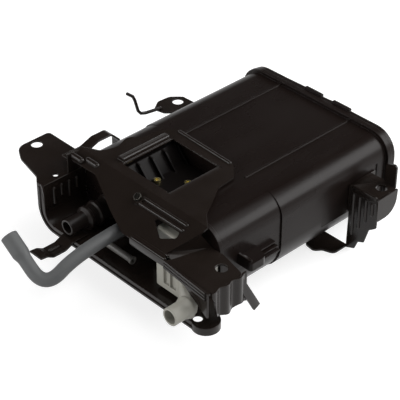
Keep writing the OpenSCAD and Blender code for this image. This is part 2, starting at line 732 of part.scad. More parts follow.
// Front cradle: ear, left wall, floor, front rim, rear flange and lobe, stamped from one sheet
module front_cradle() {
    floor_z = [cradle_floor_z - sheet, cradle_floor_z];
    back_x = front_x - 0.2;
    color("#1f1c1a") difference() {
        union() {
            // Left wall and floor
            along_x(cradle_x, back_x) polygon(strip(bent([
                [cradle_wall_y + sheet / 2, front_ear_z - sheet / 2, 0],
                [cradle_wall_y + sheet / 2, cradle_floor_z - sheet / 2, 13],
                [lobe_at[1], cradle_floor_z - sheet / 2, 0]
            ]), sheet));
            // Ear
            along_z(front_ear_z - sheet, front_ear_z) polygon(rounded([
                [back_x, cradle_wall_y, 0], [back_x, cradle_wall_y + 8, 3],
                [ear_hole_at[0] + 22, cradle_wall_y + 12, 4], [ear_hole_at[0] + 22, ear_hole_at[1] + 9, 4],
                [ear_hole_at[0] - 16, ear_hole_at[1] + 9, 13],
                [ear_hole_at[0] - 26, ear_hole_at[1] - 8, 20], [cradle_x + 6, cradle_rim_y + 8, 10],
                [cradle_x, cradle_rim_y, 4], [cradle_x, cradle_wall_y, 0]
            ]));
            // Front rim round the wall and along the floor
            along_x(cradle_x, cradle_x + sheet) polygon(rounded([
                [cradle_rim_y, front_ear_z, 0],
                [cradle_wall_y + sheet, front_ear_z, 0],
                [cradle_wall_y + sheet, cradle_floor_z - sheet, 14],
                [lobe_at[1], cradle_floor_z - sheet, 0],
                [lobe_at[1], cradle_floor_z - sheet - cradle_rim_drop, 0],
                [cradle_rim_y, cradle_floor_z - sheet - cradle_rim_drop, cradle_corner_radius]
            ]));
            // Lobe and its skirt
            round_z(floor_z[0], floor_z[1], lobe_at, lobe_radius);
            difference() {
                round_z(floor_z[0] - cradle_rim_drop, floor_z[1], lobe_at, lobe_radius);
                round_z(floor_z[0] - cradle_rim_drop - 1, floor_z[0], lobe_at, lobe_radius - sheet);
                block([lobe_at[0] - 8, back_x], [lobe_at[1], lobe_at[1] + 20], [0, floor_z[0]]);
            }
            // Rear flange against the case
            for (y = cradle_bolt_y)
                block([back_x - sheet, back_x], around(y, cradle_tab_width), [floor_z[0], floor_z[1] + 14]);
            // Raised line along the rim
            along_x(cradle_x - rim_line, cradle_x + touch) polygon(strip(bent([
                [cradle_rim_y - rim_line_inset, front_ear_z - rim_line_inset, 0],
                [cradle_rim_y - rim_line_inset, rim_line_z, cradle_corner_radius - rim_line_inset],
                [lobe_at[1], rim_line_z, 0]
            ]), rim_line_width));
            // Stiffening beads of the left wall
            for (i = [0 : wall_beads - 1])
                bead_z(cradle_floor_z + 16 + i % 2 * 6, front_ear_z - 8,
                       [cradle_x + 12 + i * wall_bead_pitch, cradle_wall_y], bead_radius);
        }
        round_z(front_ear_z - 10, front_ear_z + 10, ear_hole_at, mount_hole / 2);
        round_z(0, front_ear_z - 10, lobe_hole_at, lobe_hole / 2);
        round_z(front_ear_z - 10, front_ear_z + 10, [cradle_x + 20, cradle_wall_y + 7], 2.6);
        for (y = cradle_bolt_y) round_x(back_x - 5, back_x + 1, y, cradle_bolt_z, bolt_shank / 2);
    }
}

// Forward arm, spot welded on the cradle's floor, with a joggle and a bead
module cradle_arm() {
    z = cradle_floor_z + sheet / 2;
    path = bent([
        [cradle_x + 14, z, 0], [cradle_x - 3, z, 6], [cradle_x - 12, z - 4, 6],
        [cradle_x - 26, z - 4, 6], [cradle_x - 33, z, 6], [cradle_x - arm_reach, z + 1, 0]
    ]);
    color("#1f1c1a") {
        along_y(arm_y[0], arm_y[1]) polygon(strip(path, sheet));
        bead_x(cradle_x - 24, cradle_x - 14, (arm_y[0] + arm_y[1]) / 2, z - 4 + sheet / 2, bead_radius);
    }
}

deck_length = norm([hinge_x - deck_front_x, plate_top_z - front_ear_z]);
deck_slope = atan2(plate_top_z - front_ear_z, hinge_x - deck_front_x);
plate_rear_x = bulkhead_x + 6.5;
step_y = 89;
pad_at = [[front_x - 14, 82], [front_x - 9, 66]];
pad_length = 12;
pad_radius = 2.9;
window_x = [front_x + 7.5, bulkhead_x - 8.5];
window_y = [-19, 42];
window_roll = 4.5;
window_roll_width = 8.5;
window_slope = 7;
window_slope_angle = 9;
wedge_top = [[-35, -64.7], [-7, -78.5]];
wedge_foot = [[-34.7, -73.3], [2.9, -83.6]];
wedge_sink = 0.3;
lip = 7;
lip_bead = 1.4;
lip_pitch = 3.4;
lip_start_y = -70;
gusset_y = shelf_y + 37;
gusset_z = cradle_floor_z + 14;
wave_pitch = 15;
wave_depth = 2.4;
wave_length = 42;
wave_steps = 40;
boss_rise = 1.5;
strap_y = [half_width + 0.5, half_width + 12];
strap_path = bent([
    [front_x - 14, plate_z - 10, 0], [front_x + 8, plate_z - 10, 6], [front_x + 22, plate_z - 5, 6],
    [front_x + 38, plate_z - 5, 6], [front_x + 48, plate_z - 15, 5], [front_x + 48, plate_z - 30, 0]
]);

// Places children in the plane of the sloping deck: u runs down to the front, v along Y
module on_deck() {
    translate([hinge_x, 0, plate_top_z]) rotate([0, -deck_slope, 0]) mirror([1, 0, 0]) children();
}

// A twisted side of sheet between the deck's edge and the shelf
module wedge() {
    drop = (plate_top_z - front_ear_z) / (hinge_x - deck_front_x);
    upper = [for (p = wedge_top) [hinge_x + p[0], p[1], plate_top_z + p[0] * drop - wedge_sink]];
    lower = [for (p = wedge_foot) [hinge_x + p[0], p[1], front_ear_z - wedge_sink]];
    outer = concat(upper, [lower[1], lower[0]]);
    inner = [for (p = outer) p + [0.6, 0.9, -1] * sheet * 0.8];
    polyhedron(concat(outer, inner), [
        [0, 1, 2], [0, 2, 3], [6, 5, 4], [7, 6, 4], [1, 0, 4, 5], [2, 1, 5, 6], [3, 2, 6, 7], [0, 3, 7, 4]
    ]);
}

// Top bracket: plate with window, sloping deck, shelf, corrugated flange and front lip
module top_bracket() {
    color("#1c1a19") difference() {
        union() {
            // Plate over the case and the skirt that lands on it
            along_z(plate_z, plate_top_z) polygon(rounded([
                [hinge_x, step_y + sheet, 0], [hinge_x, deck_side_y, 0], [front_x + 10, deck_side_y + 15, 6],
                [bulkhead_x - 31.5, -44, 2], [bulkhead_x - 10.5, -42, 2], [plate_rear_x - 3, -27, 6],
                [plate_rear_x, 50, 10], [plate_rear_x - 12, 61, 14], [bulkhead_x - 28.5, 63, 12],
                [bulkhead_x - 36.5, 74, 8], [front_x + 22.5, 67, 12], [front_x + 8, 72, 12],
                [front_x - 1, step_y + sheet, 0]
            ]));
            // Raised rim along the rear edge of the plate
            bead_between([plate_rear_x - 4.5, -24, plate_top_z], [plate_rear_x - 2, 46, plate_top_z],
                         bead_radius);
            // Sloping deck
            on_deck() along_z(-sheet, 0) polygon(rounded([
                [0, deck_side_y, 0], [0, step_y + sheet, 0], [15, step_y + sheet, 5], [14, 54, 14],
                [34, 14, 20], [deck_length, -14, 14], [deck_length, lip_start_y, 0],
                [-wedge_top[0][0] / cos(deck_slope), wedge_top[0][1] - 1, 0],
                [-wedge_top[1][0] / cos(deck_slope), wedge_top[1][1] - 1, 0]
            ]));
            wedge();
            // Shelf
            along_z(front_ear_z - sheet, front_ear_z) polygon(rounded([
                [deck_front_x, lip_start_y, 0], [cradle_x + 1, shelf_y, 3], [front_x - 8, shelf_y, 5],
                [front_x - 1, shelf_y + 30, 12], [front_x - 1, deck_side_y, 0]
            ]));
            // Corrugated flange at the shelf's outer edge
            intersection() {
                along_z(cradle_floor_z + 1, front_ear_z)
                    polygon(strip([for (i = [0 : wave_steps])
                        let (x = cradle_x + 5 + i * wave_length / wave_steps,
                             wave = wave_depth * (1 - cos(360 * (x - cradle_x) / wave_pitch)) / 2)
                        [x, shelf_y - wave + sheet / 2]], sheet));
                along_y(shelf_y - 8, shelf_y + 8) polygon(rounded([
                    [cradle_x, front_ear_z, 0], [cradle_x + 7, front_ear_z - 8, 6],
                    [cradle_x + 11, cradle_floor_z + 11, 5], [cradle_x + 26, cradle_floor_z + 8, 5],
                    [cradle_x + 36, cradle_floor_z + 12, 4],
                    [front_x, cradle_floor_z + 8, 0], [front_x, front_ear_z, 0]
                ]));
            }
            // Slanting tongue behind the flange
            along_y(shelf_y - sheet / 2, shelf_y + sheet / 2) polygon(strip([
                [front_x - 14, front_ear_z - 1], [front_x + 10, cradle_floor_z - 6]
            ], 8));
            // Front lip of the deck and the shelf, with the gusset down to the flange
            intersection() {
                along_z(gusset_z, front_ear_z) polygon(strip([
                    [deck_front_x + 1, -24], [deck_front_x + 1, lip_start_y], [cradle_x + 2, shelf_y + 1]
                ], sheet));
                along_x(cradle_x - 5, front_x) polygon([
                    [0, front_ear_z], [0, front_ear_z - lip], [gusset_y, front_ear_z - lip],
                    [shelf_y + 1, gusset_z], [shelf_y - 5, gusset_z], [shelf_y - 5, front_ear_z]
                ]);
            }
            for (i = [0 : 2])
                bead_between([deck_front_x, lip_start_y, front_ear_z - i * lip_pitch],
                             [cradle_x + 1, shelf_y + 3, front_ear_z - i * lip_pitch], lip_bead);
            for (d = [0, 4])
                bead_y(lip_start_y + 2, -26, deck_front_x + 2 + d, front_ear_z + d * 0.4, bead_radius * 0.8);
            // Step wall on the cradle's ear and the root of the loop strap
            block([front_x - 20, front_x - 1], [step_y, step_y + sheet], [front_ear_z, plate_top_z]);
            along_y(step_y, strap_y[0] + touch)
                polygon(strip([strap_path[0], strap_path[0] + [12, 0]], sheet));
            // Rolled edge of the window and the twin ridge on the hinge line
            along_x(window_x[0] + 2, window_x[1] - 2) translate([window_y[1] + 0.8, plate_z])
                polygon(rounded([
                    [0, 0, 0], [window_roll_width + 1, 0, 0],
                    [window_roll_width, sheet + window_roll - 1, 2], [1.2, sheet + window_roll, 2.2]
                ]));
            for (d = [-3, 3])
                on_deck() bead_y(-63, post_at[1] - post_radius + 1, post_at[0] + d, 0, bead_radius);
            on_deck() translate([post_at[0], post_at[1], -sheet])
                cylinder(h = sheet + boss_rise, r = post_radius, $fn = fine);
            for (p = pad_at)
                bead_y(p[1] - pad_length / 2, p[1] + pad_length / 2, p[0], plate_top_z - 3, pad_radius);
            // Loop strap at the far edge
            along_y(strap_y[0], strap_y[1]) polygon(strip(strap_path, sheet));
        }
        block(window_x, window_y, [plate_z - 5, plate_top_z + 10]);
        on_deck() translate([post_at[0], post_at[1], -10])
            cylinder(h = 20, r = bolt_shank / 2, $fn = fine);
        on_deck() translate([0, 0, -10]) linear_extrude(30)
            polygon(rounded([[17, -28, 2], [31.5, -50, 4], [23, -63.5, 3], [17, -62, 2]]));
        // Slope down to the near edge of the window
        translate([window_x[0] - 1, window_y[0], plate_top_z]) rotate([-window_slope_angle, 0, 0])
            translate([0, -window_slope, -sheet / 2])
                cube([window_x[1] - window_x[0] + 2, window_slope + 1, 10]);
        round_z(front_ear_z - 5, front_ear_z + 5, shelf_hole_at, mount_hole / 2);
    }
}

// Lower edge of the near leg, as [how far out past the case, how high over the wing]
leg_steps = [[34.5, 39], [26.5, 33], [21.5, 16], [14.5, 13], [10.5, 3], [0.5, 0]];
leg_bottom = [for (p = leg_steps) [-half_width - p[0], wing_z + p[1]]];
leg_beads = 4;

// Rear bracket on the near side: base plate, shelf, corrugated leg, outer flange, tab and wing
module rear_near_bracket() {
    seat_y = -half_width + bracket_pocket_depth;
    outer_y = -half_width - rear_reach;
    back_x = rear_leg_x + rear_bracket_length;
    z = [rear_ear_z - sheet, rear_ear_z];
    color("#1f1c1a") difference() {
        union() {
            block([rear_leg_x, back_x + 6], [seat_y - sheet, seat_y], [base_radius - 6, rear_ear_z]);
            along_z(z[0], z[1]) polygon(rounded([
                [rear_leg_x, seat_y, 0], [rear_leg_x, outer_y, 2],
                [back_x, outer_y + 2, 6], [back_x, seat_y, 0]
            ]));
            along_x(rear_leg_x, rear_leg_x + sheet) polygon(concat(
                [[seat_y - 2, rear_ear_z], [outer_y, rear_ear_z]], leg_bottom,
                [[seat_y - 2, base_radius - 16]]
            ));
            for (i = [0 : leg_beads - 1])
                bead_z(wing_z + 20 + i * 11, rear_ear_z - 7, [rear_leg_x, seat_y - (i + 1) * 7.5],
                       bead_radius);
            for (d = [0, 5])
                bead_y(outer_y + 4, seat_y - 6, rear_leg_x + 1, rear_ear_z - d, bead_radius);
            along_y(outer_y, outer_y + sheet) polygon(rounded([
                [rear_leg_x, rear_ear_z, 0], [rear_leg_x, rear_ear_z - 25, 3],
                [back_x - 4, rear_ear_z - 25, 16], [back_x - 2, rear_ear_z, 0]
            ]));
            along_x(back_x - sheet, back_x) polygon(rounded([
                [outer_y + 4, rear_ear_z - sheet, 0], [outer_y + 4, rear_ear_z + 24, 3],
                [outer_y + 17, rear_ear_z + 20, 3], [outer_y + 17, rear_ear_z - sheet, 0]
            ]));
            along_z(wing_z, wing_z + sheet) polygon(rounded([
                [rear_leg_x + sheet, -foot_y, 0], [rear_leg_x + sheet, -wing_y, 0],
                [rear_leg_x - 26, -wing_y, 5], [rear_leg_x - 28, -wing_y - 14, 6],
                [rear_leg_x - 21, -wing_y - 19, 4], [rear_leg_x - 17, -foot_y, 6]
            ]));
        }
        round_z(rear_ear_z - 5, rear_ear_z + 5, rear_hole_at, mount_hole / 2);
        for (x = rear_bolt_x) round_y(-half_width - 8, seat_y + 1, x, rear_bolt_z, bolt_shank / 2);
    }
}

// Rear bracket on the far side: base plate, ear, leg and wing
module rear_far_bracket() {
    seat_y = half_width - bracket_pocket_depth;
    back_x = rear_leg_x + rear_bracket_length;
    color("#1f1c1a") difference() {
        union() {
            block([rear_leg_x, back_x + 6], [seat_y, seat_y + sheet], [base_radius - 6, rear_ear_z]);
            along_z(rear_ear_z - sheet, rear_ear_z) polygon(rounded([
                [back_x, seat_y, 0], [back_x, half_width + 9, 8],
                [far_hole_at[0] + 11, far_hole_at[1] - 17, 8],
                [far_hole_at[0] + 10, far_hole_at[1] + 4, 6], [far_hole_at[0], far_hole_at[1] + 13, 8],
                [far_hole_at[0] - 15, far_hole_at[1] + 14, 6], [far_hole_at[0] - 27, far_hole_at[1] + 6, 4],
                [far_hole_at[0] - 24, far_hole_at[1] - 6, 5], [far_hole_at[0] - 4, half_width + 8, 8],
                [rear_leg_x, half_width + 4, 0], [rear_leg_x, seat_y, 0]
            ]));
            along_x(rear_leg_x, rear_leg_x + sheet) polygon([
                [seat_y + 2, rear_ear_z], [half_width + 16.5, rear_ear_z], [half_width + 10.5, wing_z + 30],
                [foot_y - 0.5, wing_z], [seat_y + 2, base_radius - 16]
            ]);
            along_z(wing_z, wing_z + sheet) polygon(rounded([
                [rear_leg_x + sheet, foot_y, 0], [rear_leg_x - 17, foot_y, 6],
                [rear_leg_x - 28, wing_y + 14, 6], [rear_leg_x - 26, wing_y, 5],
                [rear_leg_x + sheet, wing_y, 0]
            ]));
        }
        round_z(rear_ear_z - 5, rear_ear_z + 5, far_hole_at, mount_hole / 2);
        for (x = rear_bolt_x) round_y(seat_y - 1, half_width + 8, x, rear_bolt_z, bolt_shank / 2);
    }
}

hook_wire = 3.4;

// Wire hook welded on the far ear
module far_hook() {
    lying_z = rear_ear_z + hook_wire / 2;
    root = [far_hole_at[0] - 22, far_hole_at[1], lying_z];
    path = [
        root, root + [-18, 4, 0], root + [-23, 5.5, 1], root + [-26, 6, 5],
        root + [-29, 7, 18], root + [-31, 7.5, 23], root + [-38, 8, 29]
    ];
    color("#1d1b1a") swept(path, hook_wire / 2, 12);
}

// Hexagon bolts that fix the brackets to the case
module bracket_bolts() {
    head = 4;
    head_r = 5;
    color("#8f8f8a") {
        for (x = rear_bolt_x, side = [-1, 1]) {
            seat = half_width - bracket_pocket_depth;
            translate([x, side * seat, rear_bolt_z]) rotate([-side * 90, 0, 0]) {
                cylinder(h = sheet, r = bolt_shank / 2, $fn = fine);
                translate([0, 0, sheet]) cylinder(h = head, r = head_r, $fn = 6);
            }
        }
        for (y = cradle_bolt_y) translate([front_x - 0.2, y, cradle_bolt_z]) rotate([0, -90, 0]) {
            cylinder(h = sheet, r = bolt_shank / 2, $fn = fine);
            translate([0, 0, sheet]) cylinder(h = head, r = head_r, $fn = 6);
        }
        on_deck() translate([post_at[0], post_at[1], boss_rise]) {
            cylinder(h = 3, r = 4.2, $fn = 6);
            translate([0, 0, -sheet - boss_rise - post_height + 2])
                cylinder(h = sheet + boss_rise + post_height - 2 + touch, r = bolt_shank / 2, $fn = fine);
        }
    }
}

case();
rear_cover();
main_charcoal_bed();
near_charcoal_bed();
far_charcoal_bed();
main_front_filter();
near_front_filter();
far_front_filter();
main_rear_filter();
near_rear_filter();
far_rear_filter();
main_pressure_grid();
near_pressure_grid();
far_pressure_grid();
main_springs();
near_spring();
far_spring();
valve_tray();
valve_screws();
vapour_port();
vapour_port_seal();
vent_elbow();
vent_elbow_seal();
drain_nipple();
purge_hose();
front_cradle();
cradle_arm();
top_bracket();
rear_near_bracket();
rear_far_bracket();
far_hook();
bracket_bolts();
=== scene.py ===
import itertools
import math

import bmesh
import bpy
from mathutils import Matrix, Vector
from mathutils.geometry import intersect_line_line, intersect_point_line


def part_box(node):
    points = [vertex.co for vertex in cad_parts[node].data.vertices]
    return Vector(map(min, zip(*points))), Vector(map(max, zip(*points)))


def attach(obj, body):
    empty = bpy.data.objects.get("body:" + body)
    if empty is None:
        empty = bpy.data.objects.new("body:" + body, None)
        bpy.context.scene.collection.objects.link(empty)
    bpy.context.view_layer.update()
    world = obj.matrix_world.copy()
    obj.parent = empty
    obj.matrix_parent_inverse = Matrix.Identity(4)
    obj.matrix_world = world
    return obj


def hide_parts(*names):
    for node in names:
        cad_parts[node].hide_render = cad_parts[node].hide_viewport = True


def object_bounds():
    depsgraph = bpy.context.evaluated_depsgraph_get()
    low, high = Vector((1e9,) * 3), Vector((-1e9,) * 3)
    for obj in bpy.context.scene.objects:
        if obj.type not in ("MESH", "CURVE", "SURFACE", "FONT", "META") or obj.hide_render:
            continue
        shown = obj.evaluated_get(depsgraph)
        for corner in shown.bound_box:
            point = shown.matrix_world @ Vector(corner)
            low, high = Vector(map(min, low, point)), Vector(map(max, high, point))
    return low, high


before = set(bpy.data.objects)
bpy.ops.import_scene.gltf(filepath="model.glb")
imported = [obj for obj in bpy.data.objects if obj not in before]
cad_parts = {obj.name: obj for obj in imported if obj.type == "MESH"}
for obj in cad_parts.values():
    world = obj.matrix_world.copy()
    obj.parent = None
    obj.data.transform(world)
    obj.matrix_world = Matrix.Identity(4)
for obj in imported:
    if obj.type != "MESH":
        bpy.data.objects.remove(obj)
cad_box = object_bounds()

# Case of the canister
# A long box with rounded edges, moulded in one piece from black nylon. The tool leaves a fine
# satin grain on it, and the melt leaves faint cloudy bands along its length.
mm = 0.001
body = "root"
case_edge = 0.7 * mm
cloud_mm = 38
cloud_stretch = (0.35, 1.0, 1.0)
grain_relief = 0.03 * mm

# Edges in this space, counted from the ends and sides of the case's box, are hidden and stay sharp.
front_inset = 42 * mm
rear_inset = 1 * mm
side_inset = 4.5 * mm
hidden_floor = 3 * mm
hidden_roof = 66 * mm

# Most values of a noise texture lie between these two.
noise_low, noise_high = 0.3, 0.7

# How a CAD piece is merged into whole faces, and which of its edges get a round
weld = 0.002 * mm
short_edge = 0.05 * mm
flat_angle = math.radians(0.6)
sharp_angle = math.radians(28)
run_turn = math.radians(40)

# How wide a round may be, and when it is narrowed because it folds a face over itself
room_share = 0.35
sheet_slack = 1.25
least_round = 0.1 * mm
round_segments = 3
round_tries = 8
fold_over = 1.01
crossing_gap = 0.05 * mm
clear_share = 2.5
flat_weight = 100


def linear(colour):
    """An sRGB hex colour as linear RGBA."""
    channels = [int(colour[i:i + 2], 16) / 255 for i in (1, 3, 5)]
    return tuple(c / 12.92 if c <= 0.04045 else ((c + 0.055) / 1.055) ** 2.4 for c in channels) + (1.0,)


def add(tree, kind, links=None, **settings):
    """Adds a node with its settings, and gives inputs, by name or number, a link or a value."""
    made = tree.nodes.new(kind)
    for name, value in settings.items():
        setattr(made, name, value)
    for socket, value in (links or {}).items():
        if isinstance(value, bpy.types.NodeSocket):
            tree.links.new(value, made.inputs[socket])
        else:
            made.inputs[socket].default_value = value
    return made


def per_metre(size_mm):
    """The texture scale at which one feature of a pattern measures that many millimetres."""
    return 1 / (size_mm * mm)


def new_surface(name):
    """An empty material and its node tree."""
    material = bpy.data.materials.new(name)
    material.use_nodes = True
    material.node_tree.nodes.clear()
    return material, material.node_tree


def moulded_nylon(name, dark, light, gloss, grain_mm, specular=0.4):
    """Moulded nylon: two close tones in cloudy bands, and a fine grain that breaks up the gloss.

    Inputs 6 and 7 of a Mix node are its two colours, and output 2 is the mixed one.
    """
    material, tree = new_surface(name)
    place = add(tree, "ShaderNodeTexCoord").outputs["Object"]
    bands = add(tree, "ShaderNodeMapping", {"Vector": place, "Scale": cloud_stretch}).outputs[0]
    cloud = add(tree, "ShaderNodeTexNoise", {
        "Vector": bands, "Scale": per_metre(cloud_mm), "Detail": 4.0}).outputs[0]
    grain = add(tree, "ShaderNodeTexNoise", {
        "Vector": place, "Scale": per_metre(grain_mm), "Detail": 2.0}).outputs[0]
    tone = add(tree, "ShaderNodeMix", {0: cloud, 6: linear(dark), 7: linear(light)}, data_type="RGBA")
    rough = add(tree, "ShaderNodeMapRange", {
        "Value": cloud, "From Min": noise_low, "From Max": noise_high,
        "To Min": gloss[0], "To Max": gloss[1]})
    bump = add(tree, "ShaderNodeBump", {"Height": grain, "Strength": 0.25, "Distance": grain_relief})
    shader = add(tree, "ShaderNodeBsdfPrincipled", {
        "Base Color": tone.outputs[2], "Roughness": rough.outputs[0], "IOR": 1.53,
        "Specular IOR Level": specular, "Normal": bump.outputs[0]})
    add(tree, "ShaderNodeOutputMaterial", {"Surface": shader.outputs[0]})
    return material


def whole_faces(node):
    """A CAD piece with its triangles welded and joined into whole faces."""
    mesh = bmesh.new()
    mesh.from_mesh(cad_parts[node].data)
    bmesh.ops.remove_doubles(mesh, verts=mesh.verts, dist=weld)
    bmesh.ops.dissolve_limit(mesh, angle_limit=flat_angle, verts=mesh.verts, edges=mesh.edges)
    bmesh.ops.dissolve_degenerate(mesh, dist=short_edge, edges=mesh.edges)
    return mesh


def reach(face, edge):
    """How far a face stretches away from one of its edges."""
    start = edge.verts[0].co
    along = (edge.verts[1].co - start).normalized()
    return max((v.co - start).cross(along).length for v in face.verts)


def corner_room(loop, bent):
    """The widest rounds at a face's corner that don't meet or pass the end of an edge."""
    one, other = loop.edge, loop.link_loop_prev.edge
    if one in bent and other in bent:
        shorter = min(one.calc_length(), other.calc_length())
        return shorter * math.tan(loop.calc_angle() / 2) if loop.is_convex else math.inf
    return (other if one in bent else one).calc_length() * math.sin(loop.calc_angle())


def runs(mesh, bent):
    """The bent edges in groups that run on into each other without a corner."""
    group = {e: [e] for e in bent}
    for loop in (loop for f in mesh.faces for loop in f.loops):
        one, other = loop.edge, loop.link_loop_prev.edge
        if one in bent and other in bent and abs(math.pi - loop.calc_angle()) < run_turn:
            if group[one] is not group[other]:
                group[one].extend(group[other])
                for e in group[other]:
                    group[e] = group[one]
    return {id(g): g for g in group.values()}.values()


def round_widths(mesh, edge, fold, sheet, shown, sharp):
    """The width of the round along each run of edges, as far as the faces and their corners leave room."""
    bent = {e for e in mesh.edges if len(e.link_faces) == 2 and e.calc_face_angle() > sharp
            and (shown is None or shown((e.verts[0].co + e.verts[1].co) / 2))}
    found = []
    for run in runs(mesh, bent):
        across = min(reach(f, e) for e in run for f in e.link_faces)
        corners = {c for e in run for loop in e.link_loops for c in (loop, loop.link_loop_next)}
        room = min([across] + [corner_room(c, bent) for c in corners])
        width = min(edge if across < sheet_slack * sheet else fold, room_share * room)
        if width > least_round:
            found.append((width, [e.index for e in run]))
    return found


def crossings(piece):
    """The places where rounds that meet have pushed the outline of a face over itself."""
    mesh = piece.evaluated_get(bpy.context.evaluated_depsgraph_get()).to_mesh()
    mesh.calc_loop_triangles()
    spare = [-fold_over * face.area for face in mesh.polygons]
    for triangle in mesh.loop_triangles:
        spare[triangle.polygon_index] += triangle.area
    places = []
    for face in (f for f in mesh.polygons if spare[f.index] > 0):
        ring = [mesh.vertices[v].co.copy() for v in face.vertices]
        sides = list(zip(ring, ring[1:] + ring[:1]))
        for (a, b), (c, d) in itertools.combinations(sides, 2):
            pair = None if b is c or a is d else intersect_line_line(a, b, c, d)
            if pair and (pair[0] - a).dot(pair[0] - b) < 0 and (pair[1] - c).dot(pair[1] - d) < 0:
                if (pair[0] - pair[1]).length < crossing_gap:
                    places.append(pair[0])
    return places


def beside(point, mesh, edge):
    """How far a point is from an edge of a mesh."""
    a, b = (mesh.vertices[v].co for v in mesh.edges[edge].vertices)
    share = intersect_point_line(point, a, b)[1]
    return (point - a.lerp(b, min(max(share, 0.0), 1.0))).length


def rounded_piece(node, edge, material, fold=None, sheet=0.0, shown=None, sharp=sharp_angle):
    """A copy of a CAD piece with round edges. On sheet metal, folds get a wider round than cut edges."""
    mesh = whole_faces(node)
    mesh.edges.index_update()
    widest = fold or edge
    rounds = round_widths(mesh, edge, widest, sheet, shown, sharp)
    corners = [len(e.link_faces) == 2 and e.calc_face_angle() > sharp for e in mesh.edges]
    for f in mesh.faces:
        f.smooth = True
    data = bpy.data.meshes.new(node + "_finished")
    mesh.to_mesh(data)
    mesh.free()
    data.materials.append(material)
    data.attributes.new("bevel_weight_edge", "FLOAT", "EDGE")
    piece = bpy.data.objects.new(node + "_finished", data)
    bpy.context.scene.collection.objects.link(piece)
    bevel = piece.modifiers.new("round edges", "BEVEL")
    bevel.limit_method = "WEIGHT"
    bevel.width = widest
    bevel.segments = round_segments
    bevel.use_clamp_overlap = False
    flats = piece.modifiers.new("true flats", "WEIGHTED_NORMAL")
    flats.weight = flat_weight
    flats.keep_sharp = True
    for _ in range(round_tries):
        widths = [0.0] * len(data.edges)
        for width, run in rounds:
            for e in run:
                widths[e] = width
        data.attributes["bevel_weight_edge"].data.foreach_set("value", [w / widest for w in widths])
        for e, width in zip(data.edges, widths):
            e.use_edge_sharp = corners[e.index] and width == 0
        data.update()
        bpy.context.view_layer.update()
        places = crossings(piece)
        if not places:
            break
        clear = [all(beside(place, data, e) > clear_share * width for place in places for e in run)
                 for width, run in rounds]
        rounds = [(width if free else width / 2, run) for free, (width, run) in zip(clear, rounds)]
        rounds = [(width, run) for width, run in rounds if width > least_round]
    return piece


def stand_for(piece, slot, *nodes):
    """The piece rides with the part and stands for its CAD nodes. Its slot is not used."""
    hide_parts(*nodes)
    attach(piece, body)


case_low, case_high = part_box("case")


def outside_case(point):
    """True where an edge can be seen from outside the case, false in its bay and chambers."""
    in_length = case_low.x + front_inset < point.x < case_high.x - rear_inset
    in_width = abs(point.y) < case_high.y - side_inset
    return not (in_length and in_width and hidden_floor < point.z < hidden_roof)


# Satin black nylon is nearly black on its flats and takes one soft, wide highlight along a rounded edge.
black_nylon = moulded_nylon("black nylon, moulded satin", "#150f0d", "#1a1412",
                            gloss=(0.24, 0.32), grain_mm=0.9, specular=0.12)
case = rounded_piece("case", case_edge, black_nylon, shown=outside_case)
stand_for(case, "case_plastic", "case")

# Charcoal beds
# Loose pellets of activated carbon, poured into the three chambers and kept packed by springs.
# They are sooty and dull.
pellet_mm = 2.2
pellet_relief = 0.5 * mm


def carbon_pellets():
    """Activated carbon: dull black pellets, their tone darkened towards the gaps between them as painted
    shade.
    """
    material, tree = new_surface("activated carbon, pressed pellets")
    place = add(tree, "ShaderNodeTexCoord").outputs["Object"]
    cell = add(tree, "ShaderNodeTexVoronoi", {"Vector": place, "Scale": per_metre(pellet_mm)})
    depth = cell.outputs["Distance"]
    # Painted shade: the tone darkens from each pellet's middle out to the gaps between pellets.
    tone = add(tree, "ShaderNodeMix", {
        0: depth, 6: linear("#303030"), 7: linear("#0c0c0c")}, data_type="RGBA")
    bump = add(tree, "ShaderNodeBump", {
        "Height": depth, "Strength": 0.8, "Distance": pellet_relief}, invert=True)
    shader = add(tree, "ShaderNodeBsdfPrincipled", {
        "Base Color": tone.outputs[2], "Roughness": 0.85, "Normal": bump.outputs[0]})
    add(tree, "ShaderNodeOutputMaterial", {"Surface": shader.outputs[0]})
    return material


def finish_node(node, material):
    """Gives a CAD piece whose shape is right its material."""
    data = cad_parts[node].data
    data.materials.clear()
    data.materials.append(material)


chambers = ("main", "near", "far")
carbon = carbon_pellets()
for chamber in chambers:
    finish_node(chamber + "_charcoal_bed", carbon)

# Felt filters
# Needled polyester pads, cut to each chamber, that keep the carbon dust out of the ports.
fibre_mm = 0.6
fibre_relief = 0.2 * mm


def needled_felt():
    """Felt: cream fibres that lie every way, soft and without gloss."""
    material, tree = new_surface("polyester felt, needled")
    place = add(tree, "ShaderNodeTexCoord").outputs["Object"]
    fibres = add(tree, "ShaderNodeTexNoise", {
        "Vector": place, "Scale": per_metre(fibre_mm), "Detail": 5.0, "Distortion": 1.5}).outputs[0]
    tone = add(tree, "ShaderNodeMix", {
        0: fibres, 6: linear("#c4bfae"), 7: linear("#e2dece")}, data_type="RGBA")
    bump = add(tree, "ShaderNodeBump", {"Height": fibres, "Strength": 0.6, "Distance": fibre_relief})
    shader = add(tree, "ShaderNodeBsdfPrincipled", {
        "Base Color": tone.outputs[2], "Roughness": 0.95, "Sheen Weight": 0.2, "Normal": bump.outputs[0]})
    add(tree, "ShaderNodeOutputMaterial", {"Surface": shader.outputs[0]})
    return material


felt = needled_felt()
for chamber in chambers:
    for end in ("front", "rear"):
        finish_node(f"{chamber}_{end}_filter", felt)

# Pressure grids
# Perforated plates of moulded black nylon that slide in the chambers and press each carbon bed forward.
for chamber in chambers:
    finish_node(chamber + "_pressure_grid", black_nylon)

# Pressure springs
# Coils of drawn steel wire between the grids and the rear cover, four turns each.
wire_radius = 1 * mm
wire_sides = 12
spring_turns = 4.0
turn_steps = 40
draw_mark_mm = 1.2
draw_mark_relief = 0.02 * mm


